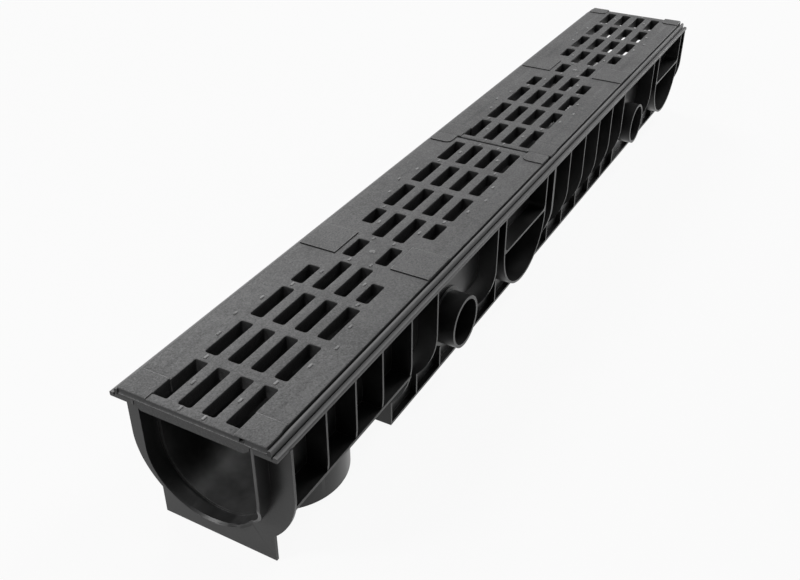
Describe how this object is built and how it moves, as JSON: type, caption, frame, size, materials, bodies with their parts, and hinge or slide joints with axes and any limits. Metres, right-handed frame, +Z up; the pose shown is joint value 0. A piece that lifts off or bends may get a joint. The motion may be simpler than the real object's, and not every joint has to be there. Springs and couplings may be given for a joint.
{
  "type": "channel drain",
  "caption": "Ribbed plastic linear drainage channel with a half-round trough, side and bottom spouts and slotted cast-iron grates lying in its rim.",
  "frame": {"origin": "on the ground under the middle of the channel, at the bottom centre of the bounding box", "axes": "+X runs along the channel from the jointed end to the plain end, +Y is across it, +Z is up"},
  "size_m": [1, 0.15, 0.13],
  "materials": {
    "channel_plastic": "black moulded polypropylene, satin, with lighter rubbed edges",
    "grate_iron": "as-cast iron with a black dip coating, fine sand grain"
  },
  "bodies": {
    "root": {"channel_body": "channel_plastic", "front_grate": "grate_iron", "rear_grate": "grate_iron"}
  },
  "joints": []
}
